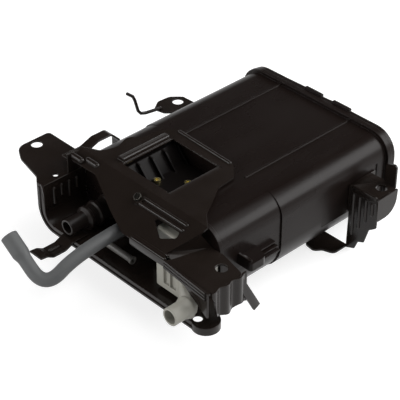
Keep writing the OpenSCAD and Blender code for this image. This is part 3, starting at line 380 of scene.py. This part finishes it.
def drawn_wire(name, colour, rough):
    """Bare or plated steel: metal with faint draw marks that vary its gloss."""
    material, tree = new_surface(name)
    place = add(tree, "ShaderNodeTexCoord").outputs["Object"]
    marks = add(tree, "ShaderNodeTexNoise", {
        "Vector": place, "Scale": per_metre(draw_mark_mm), "Detail": 3.0}).outputs[0]
    gloss = add(tree, "ShaderNodeMapRange", {
        "Value": marks, "From Min": noise_low, "From Max": noise_high,
        "To Min": rough - 0.06, "To Max": rough + 0.1})
    bump = add(tree, "ShaderNodeBump", {"Height": marks, "Strength": 0.15, "Distance": draw_mark_relief})
    shader = add(tree, "ShaderNodeBsdfPrincipled", {
        "Base Color": linear(colour), "Metallic": 1.0, "Roughness": gloss.outputs[0],
        "Normal": bump.outputs[0]})
    add(tree, "ShaderNodeOutputMaterial", {"Surface": shader.outputs[0]})
    return material


def new_tree(name, **inputs):
    """An empty geometry tree whose named inputs have the given socket types."""
    tree = bpy.data.node_groups.new(name, "GeometryNodeTree")
    tree.interface.new_socket("Geometry", in_out="INPUT", socket_type="NodeSocketGeometry")
    for label, kind in inputs.items():
        tree.interface.new_socket(label, in_out="INPUT", socket_type=kind)
    tree.interface.new_socket("Geometry", in_out="OUTPUT", socket_type="NodeSocketGeometry")
    return tree, add(tree, "NodeGroupInput").outputs


def grown(name, data, tree, **values):
    """Runs a geometry tree with these inputs on a mesh or curve, and makes a plain mesh of the result."""
    seed = bpy.data.objects.new(name, data)
    bpy.context.scene.collection.objects.link(seed)
    modifier = seed.modifiers.new("grow", "NODES")
    modifier.node_group = tree
    for item in tree.interface.items_tree:
        if item.in_out == "INPUT" and item.name in values:
            modifier[item.identifier] = values[item.name]
    bpy.context.view_layer.update()
    shape = seed.evaluated_get(bpy.context.evaluated_depsgraph_get())
    mesh = bpy.data.meshes.new_from_object(shape)
    bpy.data.objects.remove(seed)
    piece = bpy.data.objects.new(name, mesh)
    bpy.context.scene.collection.objects.link(piece)
    return piece


def islands(node):
    """The separate solids of a CAD node, each as its list of points."""
    mesh = bmesh.new()
    mesh.from_mesh(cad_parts[node].data)
    bmesh.ops.remove_doubles(mesh, verts=mesh.verts, dist=weld)
    left, found = set(mesh.verts), []
    for first in mesh.verts:
        if first not in left:
            continue
        left.remove(first)
        stack, points = [first], []
        while stack:
            v = stack.pop()
            points.append(v.co.copy())
            for e in v.link_edges:
                other = e.other_vert(v)
                if other in left:
                    left.remove(other)
                    stack.append(other)
        found.append(points)
    mesh.free()
    return found


def box_of(points):
    """Lowest and highest corner of a list of points."""
    return Vector(map(min, *points)), Vector(map(max, *points))


# Bare spring wire has a grey shine in narrow streaks.
spring_steel = drawn_wire("spring steel, drawn wire", "#b9b9b4", 0.32)
coil_tree, coil = new_tree("pressure spring", Turns="NodeSocketFloat", Radius="NodeSocketFloat",
                           Length="NodeSocketFloat", Wire="NodeSocketFloat", Finish="NodeSocketMaterial")
helix = add(coil_tree, "GeometryNodeCurveSpiral", {
    "Resolution": turn_steps, "Rotations": coil["Turns"], "Height": coil["Length"],
    "Start Radius": coil["Radius"], "End Radius": coil["Radius"]})
wire = add(coil_tree, "GeometryNodeCurvePrimitiveCircle", {
    "Resolution": wire_sides, "Radius": coil["Wire"]})
turned = add(coil_tree, "GeometryNodeCurveToMesh", {
    "Curve": helix.outputs[0], "Profile Curve": wire.outputs[0], "Fill Caps": True})
along_x = add(coil_tree, "GeometryNodeTransform", {
    "Geometry": turned.outputs[0], "Rotation": (0.0, math.pi / 2, 0.0)})
seated = add(coil_tree, "GeometryNodeInstanceOnPoints", {
    "Points": coil["Geometry"], "Instance": along_x.outputs[0]})
real = add(coil_tree, "GeometryNodeRealizeInstances", {"Geometry": seated.outputs[0]})
coated = add(coil_tree, "GeometryNodeSetMaterial", {
    "Geometry": real.outputs[0], "Material": coil["Finish"]})
add(coil_tree, "NodeGroupOutput", {"Geometry": coated.outputs[0]})
for node in ("main_springs", "near_spring", "far_spring"):
    boxes = [box_of(points) for points in islands(node)]
    seats = bpy.data.meshes.new(node + "_seats")
    places = [(low.x + wire_radius, (low.y + high.y) / 2, (low.z + high.z) / 2) for low, high in boxes]
    seats.from_pydata(places, [], [])
    low, high = boxes[0]
    spring = grown(node + "_wound", seats, coil_tree, Turns=spring_turns, Wire=wire_radius,
                   Radius=(high.y - low.y) / 2 - wire_radius, Length=high.x - low.x - 2 * wire_radius,
                   Finish=spring_steel)
    for face in spring.data.polygons:
        face.use_smooth = True
    stand_for(spring, "spring_steel", node)

# Rear cover
# A moulded nylon lid, welded on the open end of the case. Its rim and its raised panel are well
# rounded, so they catch the light as the case does.
cover_edge = 1.6 * mm
cover = rounded_piece("rear_cover", cover_edge, black_nylon)
stand_for(cover, "case_plastic", "rear_cover")

# Valve cover and its screws
# A ribbed black nylon cover in the window of the top bracket, held by two yellow zinc screws.
tray_edge = 0.5 * mm
screw_head = (3.4 * mm, 2.6 * mm)
screw_shank = 1.6 * mm
screw_slot = (4 * mm, 0.9 * mm, 2 * mm)
screw_sides = 32
shank_sides = 24
chamfer_share = 0.1
chamfer_segments = 2
chamfer_angle = math.radians(40)

# The cover is moulded in a blasted tool, so it stays dull. Its tones are set darker than the case's as
# painted shade down in its pocket.
pocket_shaded_nylon = moulded_nylon("black nylon, moulded dull", "#0d0a09", "#120e0d",
                           gloss=(0.4, 0.5), grain_mm=0.7, specular=0.1)
tray = rounded_piece("valve_tray", tray_edge, pocket_shaded_nylon)
stand_for(tray, "port_plastic", "valve_tray")


def fastener_tree(name, sides, slotted=False):
    """A geometry tree that sets a screw or a bolt on each point and turns it to the point's axis."""
    tree, size = new_tree(name, Head="NodeSocketFloat", Height="NodeSocketFloat", Shank="NodeSocketFloat",
                          Length="NodeSocketFloat", Drop="NodeSocketVector", Slot="NodeSocketVector",
                          Lift="NodeSocketVector", Finish="NodeSocketMaterial")
    head = add(tree, "GeometryNodeMeshCylinder", {
        "Vertices": sides, "Radius": size["Head"], "Depth": size["Height"]}).outputs["Mesh"]
    if slotted:
        slot = add(tree, "GeometryNodeMeshCube", {"Size": size["Slot"]}).outputs["Mesh"]
        along = add(tree, "GeometryNodeTransform", {"Geometry": slot, "Translation": size["Lift"]})
        across = add(tree, "GeometryNodeTransform", {
            "Geometry": along.outputs[0], "Rotation": (0.0, 0.0, math.pi / 2)})
        for cutter in (along, across):
            head = add(tree, "GeometryNodeMeshBoolean", {"Mesh 1": head, "Mesh 2": cutter.outputs[0]},
                       operation="DIFFERENCE").outputs[0]
    rod = add(tree, "GeometryNodeMeshCylinder", {
        "Vertices": shank_sides, "Radius": size["Shank"], "Depth": size["Length"]}).outputs["Mesh"]
    shank = add(tree, "GeometryNodeTransform", {"Geometry": rod, "Translation": size["Drop"]})
    whole = add(tree, "GeometryNodeJoinGeometry", {"Geometry": head})
    tree.links.new(shank.outputs[0], whole.inputs[0])
    axis = add(tree, "GeometryNodeInputNamedAttribute", {"Name": "axis"},
               data_type="FLOAT_VECTOR").outputs[0]
    turn = add(tree, "FunctionNodeAlignRotationToVector", {"Vector": axis}, axis="Z").outputs[0]
    seated = add(tree, "GeometryNodeInstanceOnPoints", {
        "Points": size["Geometry"], "Instance": whole.outputs[0], "Rotation": turn})
    real = add(tree, "GeometryNodeRealizeInstances", {"Geometry": seated.outputs[0]})
    coated = add(tree, "GeometryNodeSetMaterial", {"Geometry": real.outputs[0], "Material": size["Finish"]})
    add(tree, "NodeGroupOutput", {"Geometry": coated.outputs[0]})
    return tree


def fastened(name, tree, places, axes, head, shank, length, finish, slot=(0.0, 0.0, 0.0)):
    """Fasteners whose heads are centred on these places and point along these axes."""
    data = bpy.data.meshes.new(name + "_seats")
    data.from_pydata(places, [], [])
    turned_to = data.attributes.new("axis", "FLOAT_VECTOR", "POINT").data
    turned_to.foreach_set("vector", [c for a in axes for c in a])
    radius, tall = head
    piece = grown(name, data, tree, Head=radius, Height=tall, Shank=shank, Length=length, Finish=finish,
                  Drop=(0.0, 0.0, -(tall + length) / 2), Slot=slot, Lift=(0.0, 0.0, tall / 2))
    chamfer = piece.modifiers.new("chamfer", "BEVEL")
    chamfer.width = chamfer_share * radius
    chamfer.segments = chamfer_segments
    chamfer.angle_limit = chamfer_angle
    return piece


# Passivated zinc gives the screws a pale yellow glint.
yellow_zinc = drawn_wire("steel, yellow zinc plate", "#f0e2a2", 0.3)
screw_boxes = [box_of(points) for points in islands("valve_screws")]
screw_places = [(*((low + high) / 2).xy, high.z - screw_head[1] / 2) for low, high in screw_boxes]
screw_length = screw_boxes[0][1].z - screw_boxes[0][0].z - screw_head[1]
screw_tree = fastener_tree("cross slot screws", screw_sides, slotted=True)
screws = fastened("valve_screws_driven", screw_tree, screw_places, [(0, 0, 1)] * len(screw_places),
                  screw_head, screw_shank, screw_length, yellow_zinc, screw_slot)
stand_for(screws, "zinc_steel", "valve_screws")

# Vapour port and the face seals
# A moulded black nylon port with two collars, pressed on a rubber seal on the front wall. The vent
# elbow has a seal of the same kind.
port_edge = 0.6 * mm
skin_mm = 0.8
skin_relief = 0.04 * mm
# How far the painted shade darkens the hose's tone where it meets the case.
painted_shade_share = 0.55

# The ports are a little glossier than the case, so each collar shows as a thin light ring.
port_nylon = moulded_nylon("black nylon, moulded ports", "#1c1715", "#221d1b",
                           gloss=(0.24, 0.34), grain_mm=0.7, specular=0.2)
port = rounded_piece("vapour_port", port_edge, port_nylon)
stand_for(port, "port_plastic", "vapour_port")


def cured_rubber(name, dark, light, rough, bloom_mm, shaded_x=1.0, unshaded_x=0.0):
    """Cured rubber: matt, with a fine skin and a patchy, dusty bloom, and a painted shade that darkens its
    tone towards one end.
    """
    material, tree = new_surface(name)
    place = add(tree, "ShaderNodeTexCoord").outputs["Object"]
    bloom = add(tree, "ShaderNodeTexNoise", {
        "Vector": place, "Scale": per_metre(bloom_mm), "Detail": 3.0}).outputs[0]
    skin = add(tree, "ShaderNodeTexNoise", {
        "Vector": place, "Scale": per_metre(skin_mm), "Detail": 3.0}).outputs[0]
    x = add(tree, "ShaderNodeSeparateXYZ", {0: place}).outputs[0]
    # Painted shade along x: the tone keeps full strength at one end and is scaled down towards the other.
    painted_shade = add(tree, "ShaderNodeMapRange", {
        "Value": x, "From Min": unshaded_x, "From Max": shaded_x,
        "To Min": 1.0, "To Max": painted_shade_share}).outputs[0]
    patches = add(tree, "ShaderNodeMix", {0: bloom, 6: linear(dark), 7: linear(light)}, data_type="RGBA")
    tone = add(tree, "ShaderNodeVectorMath", {0: patches.outputs[2], "Scale": painted_shade}, operation="SCALE")
    gloss = add(tree, "ShaderNodeMapRange", {
        "Value": bloom, "From Min": noise_low, "From Max": noise_high,
        "To Min": rough - 0.05, "To Max": rough + 0.08})
    bump = add(tree, "ShaderNodeBump", {"Height": skin, "Strength": 0.3, "Distance": skin_relief})
    shader = add(tree, "ShaderNodeBsdfPrincipled", {
        "Base Color": tone.outputs[0], "Roughness": gloss.outputs[0], "IOR": 1.5,
        "Normal": bump.outputs[0]})
    add(tree, "ShaderNodeOutputMaterial", {"Surface": shader.outputs[0]})
    return material


# Nitrile is black and matt, so the seals hardly show beside the nylon.
seal_rubber = cured_rubber("nitrile rubber, moulded", "#0d0d0d", "#161616", 0.6, bloom_mm=6)
for node in ("vapour_port_seal", "vent_elbow_seal"):
    finish_node(node, seal_rubber)

# Vent elbow
# A light grey nylon elbow, moulded in one piece and seated on the front wall, which leads sideways to
# the vent pipe.
elbow_edge = 0.7 * mm

# Unpainted grey nylon is slightly warm and satin, with no sharp highlight.
grey_nylon = moulded_nylon("grey nylon, moulded", "#918f86", "#9f9d94", gloss=(0.38, 0.5), grain_mm=0.8)
elbow = rounded_piece("vent_elbow", elbow_edge, grey_nylon)
stand_for(elbow, "vent_plastic", "vent_elbow")

# Drain nipple
# A small nipple of dark grey nylon under the purge hose, moulded by itself and welded on the front
# wall. The bead at its mouth holds a drain hose.
nipple_edge = 0.4 * mm

# Dark grey nylon reads as a soft grey rod against the black bay behind it.
nipple_nylon = moulded_nylon("dark grey nylon, moulded", "#4c4a47", "#5a5855",
                             gloss=(0.34, 0.44), grain_mm=0.7)
nipple = rounded_piece("drain_nipple", nipple_edge, nipple_nylon)
stand_for(nipple, "port_plastic", "drain_nipple")

# Steel brackets
# Two millimetre sheet, stamped and folded, dipped in black electrocoat after welding. The coat is
# semi-gloss, with a faint orange peel, and it follows the round of the folds and of the cut edges.
sheet = 2 * mm
cut_edge = 0.7 * mm
fold_edge = 1.2 * mm
fold_angle = math.radians(17)
peel_mm = 2.4
peel_relief = 0.05 * mm
flow_mm = 26


def electrocoat():
    """Electrocoat on steel: deep black, semi-gloss, with the slow ripple of a dipped paint."""
    material, tree = new_surface("steel, black electrocoat")
    place = add(tree, "ShaderNodeTexCoord").outputs["Object"]
    peel = add(tree, "ShaderNodeTexNoise", {
        "Vector": place, "Scale": per_metre(peel_mm), "Detail": 2.0}).outputs[0]
    flow = add(tree, "ShaderNodeTexNoise", {
        "Vector": place, "Scale": per_metre(flow_mm), "Detail": 3.0}).outputs[0]
    tone = add(tree, "ShaderNodeMix", {
        0: flow, 6: linear("#1a1512"), 7: linear("#211b18")}, data_type="RGBA")
    gloss = add(tree, "ShaderNodeMapRange", {
        "Value": flow, "From Min": noise_low, "From Max": noise_high, "To Min": 0.16, "To Max": 0.25})
    bump = add(tree, "ShaderNodeBump", {"Height": peel, "Strength": 0.2, "Distance": peel_relief})
    shader = add(tree, "ShaderNodeBsdfPrincipled", {
        "Base Color": tone.outputs[2], "Roughness": gloss.outputs[0], "IOR": 1.5,
        "Specular IOR Level": 0.25, "Normal": bump.outputs[0]})
    add(tree, "ShaderNodeOutputMaterial", {"Surface": shader.outputs[0]})
    return material


black_coat = electrocoat()
for node in ("front_cradle", "cradle_arm", "top_bracket", "rear_near_bracket", "rear_far_bracket"):
    bracket = rounded_piece(node, cut_edge, black_coat, fold=fold_edge, sheet=sheet, sharp=fold_angle)
    stand_for(bracket, "bracket_steel", node)

# Wire hook
# A bent steel wire, welded on the far ear and coated with the bracket.
hook_edge = 0.3 * mm
hook_sharp = math.radians(50)
hook = rounded_piece("far_hook", hook_edge, black_coat, sharp=hook_sharp)
stand_for(hook, "bracket_steel", "far_hook")

# Bracket bolts
# Cold-headed hexagon bolts of zinc-plated steel that hold the brackets on the case. A longer one goes
# through the sloping deck into its post.
short_head = (5 * mm, 4 * mm)
post_head = (4.2 * mm, 3 * mm)
bolt_shank = 2.5 * mm
bolt_sides = 6
long_bolt = 3 * short_head[0]
deck_slope = math.radians(27.4)

# Black zinc is a dim grey metal, a little brighter than the coat around it.
bolt_zinc = drawn_wire("steel, black zinc plate", "#55524d", 0.3)
bolt_tree = fastener_tree("hexagon bolts", bolt_sides)
short_places, short_axes = [], []
for points in islands("bracket_bolts"):
    low, high = box_of(points)
    middle, size = (low + high) / 2, high - low
    if max(size) > long_bolt:
        post_points = points
        continue
    flat = min(range(3), key=lambda i: size[i])
    axis = Vector((0.0, 0.0, 0.0))
    axis[flat] = math.copysign(1.0, middle[flat])
    short_places.append(middle + axis * (size[flat] - short_head[1]) / 2)
    short_axes.append(axis)
bolts = fastened("bracket_bolts_turned", bolt_tree, short_places, short_axes,
                 short_head, bolt_shank, sheet, bolt_zinc)
stand_for(bolts, "zinc_steel", "bracket_bolts")
post_axis = Vector((-math.sin(deck_slope), 0.0, math.cos(deck_slope)))
heights = [p.dot(post_axis) for p in post_points]
foot = sum((p - post_axis * h for p, h in zip(post_points, heights)), Vector()) / len(heights)
post_place = foot + post_axis * (max(heights) - post_head[1] / 2)
post_length = max(heights) - min(heights) - post_head[1]
post_bolt = fastened("post_bolt_turned", bolt_tree, [post_place], [post_axis],
                     post_head, bolt_shank, post_length, bolt_zinc)
stand_for(post_bolt, "zinc_steel", "bracket_bolts")

# Purge hose
# A pre-formed elbow of grey rubber, cured on a mandrel and pushed over the spigot on the front wall.
# Its free end is widened into a bell for a pipe.
hose_radius = 6.5 * mm
bell_radius = 8 * mm
hose_wall = 2.5 * mm
bell_length = 26 * mm
bell_taper = 7 * mm
hose_start = Vector((-110.5, -0.5, 63)) * mm
hose_level = Vector((-150, -0.5, 63)) * mm
hose_droop = Vector((-195, -2, 63)) * mm
hose_bend = Vector((-227, 3.2, 39.4)) * mm
hose_tip = Vector((-226, 52.4, 70.2)) * mm
bend_reach = 21 * mm
curve_points = 16
hose_step = 1.5 * mm
hose_sides = 48
rim_round = 0.6 * mm
rim_segments = 3
rim_angle = math.radians(50)
# The hose's painted shade runs from full tone at the free end to its darkest where it meets the case.
shaded_end = -130 * mm
unshaded_end = -215 * mm


def curve_between(a, b, c):
    """Points of a curve from a to c that leaves and arrives towards b."""
    steps = [i / curve_points for i in range(curve_points + 1)]
    return [a.lerp(b, t).lerp(b.lerp(c, t), t) for t in steps]


# Grey rubber is matt, with a patchy, dusty bloom. Its tone is painted darker where it meets the case, as
# painted shade under the deck.
hose_rubber = cured_rubber("purge hose rubber, cured", "#4b4c4d", "#5a5b5b", 0.58, bloom_mm=14,
                           shaded_x=shaded_end, unshaded_x=unshaded_end)
bend_in = hose_bend + (hose_droop - hose_bend).normalized() * bend_reach
bend_out = hose_bend + (hose_tip - hose_bend).normalized() * bend_reach
route = [hose_start, *curve_between(hose_level, hose_droop, bend_in),
         *curve_between(bend_in, hose_bend, bend_out)[1:], hose_tip]
line = bpy.data.curves.new("purge_hose_line", "CURVE")
line.dimensions = "3D"
spline = line.splines.new("POLY")
spline.points.add(len(route) - 1)
for point, place in zip(spline.points, route):
    point.co = (*place, 1.0)
hose_tree, hose_in = new_tree("purge hose", Radius="NodeSocketFloat", Bell="NodeSocketFloat",
                              Bell_Start="NodeSocketFloat", Taper="NodeSocketFloat",
                              Finish="NodeSocketMaterial")
even = add(hose_tree, "GeometryNodeResampleCurve", {
    "Curve": hose_in["Geometry"], "Length": hose_step}, mode="LENGTH")
run = add(hose_tree, "GeometryNodeSplineParameter")
taper_end = add(hose_tree, "ShaderNodeMath", {
    0: hose_in["Bell_Start"], 1: hose_in["Taper"]}, operation="ADD")
flare = add(hose_tree, "ShaderNodeMapRange", {
    "Value": run.outputs["Length"], "From Min": hose_in["Bell_Start"], "From Max": taper_end.outputs[0],
    "To Min": hose_in["Radius"], "To Max": hose_in["Bell"]}, interpolation_type="SMOOTHSTEP")
ring = add(hose_tree, "GeometryNodeCurvePrimitiveCircle", {"Resolution": hose_sides, "Radius": 1.0})
swept = add(hose_tree, "GeometryNodeCurveToMesh", {
    "Curve": even.outputs[0], "Profile Curve": ring.outputs[0], "Scale": flare.outputs[0]})
real_hose = add(hose_tree, "GeometryNodeRealizeInstances", {"Geometry": swept.outputs[0]})
coated_hose = add(hose_tree, "GeometryNodeSetMaterial", {
    "Geometry": real_hose.outputs[0], "Material": hose_in["Finish"]})
add(hose_tree, "NodeGroupOutput", {"Geometry": coated_hose.outputs[0]})
hose_length = sum((b - a).length for a, b in zip(route, route[1:]))
hose = grown("purge_hose_cured", line, hose_tree, Radius=hose_radius, Bell=bell_radius,
             Bell_Start=hose_length - bell_length, Taper=bell_taper, Finish=hose_rubber)
for face in hose.data.polygons:
    face.use_smooth = True
thick = hose.modifiers.new("wall", "SOLIDIFY")
thick.thickness = hose_wall
thick.offset = -1
soft_rim = hose.modifiers.new("soft rim", "BEVEL")
soft_rim.width = rim_round
soft_rim.segments = rim_segments
soft_rim.angle_limit = rim_angle
stand_for(hose, "hose_rubber", "purge_hose")

# Floor, light and camera
# A pale seamless floor under large soft boxes, and the photograph's camera.
photo_width = 400
focal_pixels = 1488
sensor_mm = 36
aim = Vector((-51.5, -7.5, 54)) * mm
azimuth = math.radians(-43.4)
elevation = math.radians(35.7)
camera_distance = 1378 * mm
backdrop_top = 0.26
ceiling_start = 0.44
backdrop_glow = 1.0
ceiling_glow = 0.02
floor_half = 12
paper_lift = 0.74


def toward(turn, rise):
    """The direction from the object at that azimuth and elevation, as the camera's angles are counted."""
    return Vector((math.sin(turn) * math.cos(rise), -math.cos(turn) * math.cos(rise), math.sin(rise)))


def soft_box(name, turn_deg, rise_deg, distance, width, height, radiance):
    """A rectangular soft box that faces the object, with the radiance of its face."""
    lamp = bpy.data.lights.new(name, "AREA")
    lamp.shape = "RECTANGLE"
    lamp.size = width
    lamp.size_y = height
    lamp.energy = radiance * math.pi * width * height
    box = bpy.data.objects.new(name, lamp)
    back = toward(math.radians(turn_deg), math.radians(rise_deg))
    box.location = aim + back * distance
    box.rotation_mode = "QUATERNION"
    box.rotation_quaternion = (-back).to_track_quat("-Z", "Y")
    bpy.context.scene.collection.objects.link(box)


scene = bpy.context.scene
scene.view_settings.view_transform = "Standard"
camera_data = bpy.data.cameras.new("camera")
camera_data.sensor_width = sensor_mm
camera_data.lens = sensor_mm * focal_pixels / photo_width
camera = bpy.data.objects.new("camera", camera_data)
back = toward(azimuth, elevation)
camera.location = aim + back * camera_distance
camera.rotation_mode = "QUATERNION"
camera.rotation_quaternion = (-back).to_track_quat("-Z", "Y")
scene.collection.objects.link(camera)
scene.camera = camera

soft_box("overhead soft box", turn_deg=30, rise_deg=76, distance=1.5, width=1.6, height=1.5, radiance=2.0)
soft_box("right soft box", turn_deg=52, rise_deg=31, distance=1.6, width=1.3, height=0.8, radiance=6.5)
soft_box("left soft box", turn_deg=-118, rise_deg=20, distance=1.6, width=1.0, height=0.5, radiance=6.5)

# A white backdrop stands round the floor, and above it the ceiling is dark, so flat tops stay black.
world = bpy.data.worlds.new("studio")
scene.world = world
world.use_nodes = True
world.node_tree.nodes.clear()
sky = world.node_tree
direction = add(sky, "ShaderNodeTexCoord").outputs["Generated"]
height = add(sky, "ShaderNodeSeparateXYZ", {0: direction}).outputs[2]
fade = add(sky, "ShaderNodeMapRange", {
    "Value": height, "From Min": backdrop_top, "From Max": ceiling_start, "To Min": backdrop_glow,
    "To Max": ceiling_glow}, interpolation_type="SMOOTHSTEP")
glow = add(sky, "ShaderNodeBackground", {"Color": (1.0, 1.0, 1.0, 1.0), "Strength": fade.outputs[0]})
add(sky, "ShaderNodeOutputWorld", {"Surface": glow.outputs[0]})

# The floor is matt grey paper, lifted to white for the camera and in reflections. It keeps the shadow.
floor_mesh = bpy.data.meshes.new("floor")
floor_z = cad_box[0].z
corners = [(-floor_half, -floor_half), (floor_half, -floor_half),
           (floor_half, floor_half), (-floor_half, floor_half)]
floor_mesh.from_pydata([(x, y, floor_z) for x, y in corners], [], [(0, 1, 2, 3)])
floor = bpy.data.objects.new("floor", floor_mesh)
scene.collection.objects.link(floor)
paper, paper_tree = new_surface("white paper sweep")
diffuse = add(paper_tree, "ShaderNodeBsdfDiffuse", {"Color": linear("#b4b4b4")})
rays = add(paper_tree, "ShaderNodeLightPath").outputs
mirrored = add(paper_tree, "ShaderNodeMath", {
    0: rays["Is Glossy Ray"], 1: rays["Is Transmission Ray"]}, operation="ADD")
seen = add(paper_tree, "ShaderNodeMath", {
    0: rays["Is Camera Ray"], 1: mirrored.outputs[0]}, operation="ADD")
lift = add(paper_tree, "ShaderNodeMath", {0: seen.outputs[0], 1: paper_lift}, operation="MULTIPLY")
white = add(paper_tree, "ShaderNodeEmission", {"Color": (1.0, 1.0, 1.0, 1.0), "Strength": lift.outputs[0]})
both = add(paper_tree, "ShaderNodeAddShader", {0: diffuse.outputs[0], 1: white.outputs[0]})
add(paper_tree, "ShaderNodeOutputMaterial", {"Surface": both.outputs[0]})
floor_mesh.materials.append(paper)
